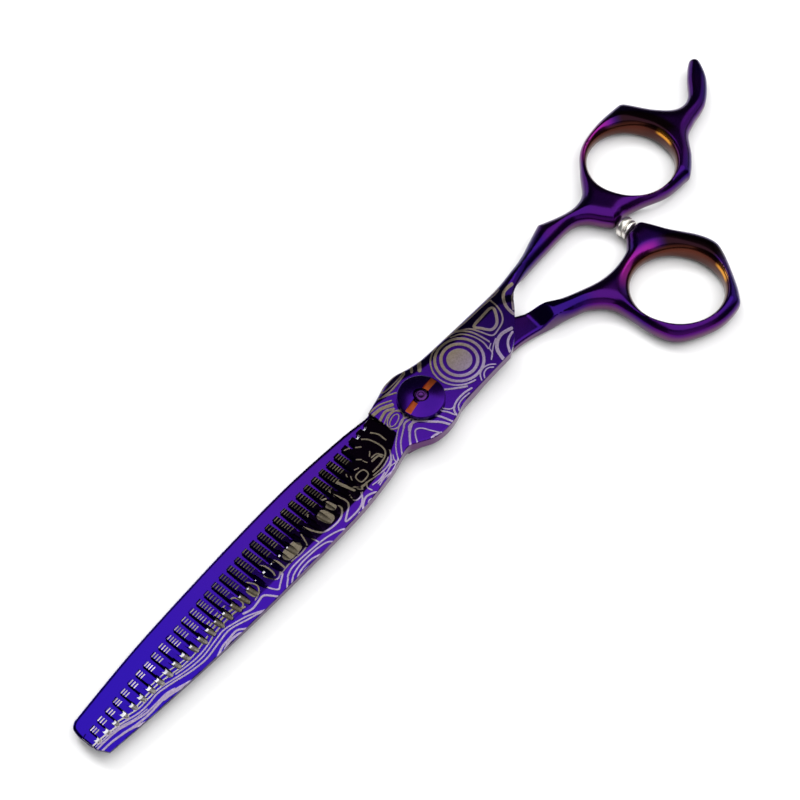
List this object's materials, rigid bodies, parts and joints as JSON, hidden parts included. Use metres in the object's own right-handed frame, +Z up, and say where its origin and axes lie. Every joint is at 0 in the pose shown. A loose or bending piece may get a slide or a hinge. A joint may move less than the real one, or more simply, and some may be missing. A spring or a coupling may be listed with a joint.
{
  "type": "thinning shears",
  "caption": "Closed hairdressing or grooming thinning shears with an etched comb blade, a plain blade, a coin-slot tension dial, a finger rest and a bumper between the rings.",
  "frame": {"origin": "on the pivot axis, on the flat underside of the pivot bolt's head, which lies on the table", "axes": "+X from the blade tips to the finger rings, +Y to the side of the finger ring, +Z up, out of the comb blade's etched face"},
  "size_m": [0.2219, 0.056, 0.0088],
  "materials": {
    "plain_blade_coat": "mirror-polished steel with a violet-blue titanium coating",
    "comb_blade_coat": "mirror-polished steel with a violet-blue titanium coating, etched with lilac-grey contour lines",
    "bolt_coat": "polished, violet coating",
    "dial_coat": "polished, violet coating with a copper-coloured slot",
    "spring_steel": "rolled spring steel",
    "washer_nylon": "natural nylon",
    "bush_bronze": "turned bronze",
    "bumper_metal": "turned and polished, ribbed",
    "stud_steel": "turned steel"
  },
  "bodies": {
    "plain_member": {"plain_blade": "plain_blade_coat", "pivot_bolt": "bolt_coat", "thrust_washer": "washer_nylon", "dial_washer": "washer_nylon", "click_spring": "spring_steel", "bumper": "bumper_metal", "bumper_stud": "stud_steel"},
    "comb_member": {"comb_blade": "comb_blade_coat", "pivot_bush": "bush_bronze"},
    "dial": {"tension_dial": "dial_coat"}
  },
  "joints": [
    {"name": "blade_pivot", "type": "hinge", "parent": "plain_member", "child": "comb_member", "pos_m": [0, 0, 0.0036], "axis": [0, 0, 1], "range_deg": [0, 90]},
    {"name": "dial_turn", "type": "hinge", "parent": "plain_member", "child": "dial", "pos_m": [0, 0, 0.0079], "axis": [0, 0, 1], "range_deg": [-90, 90]}
  ]
}
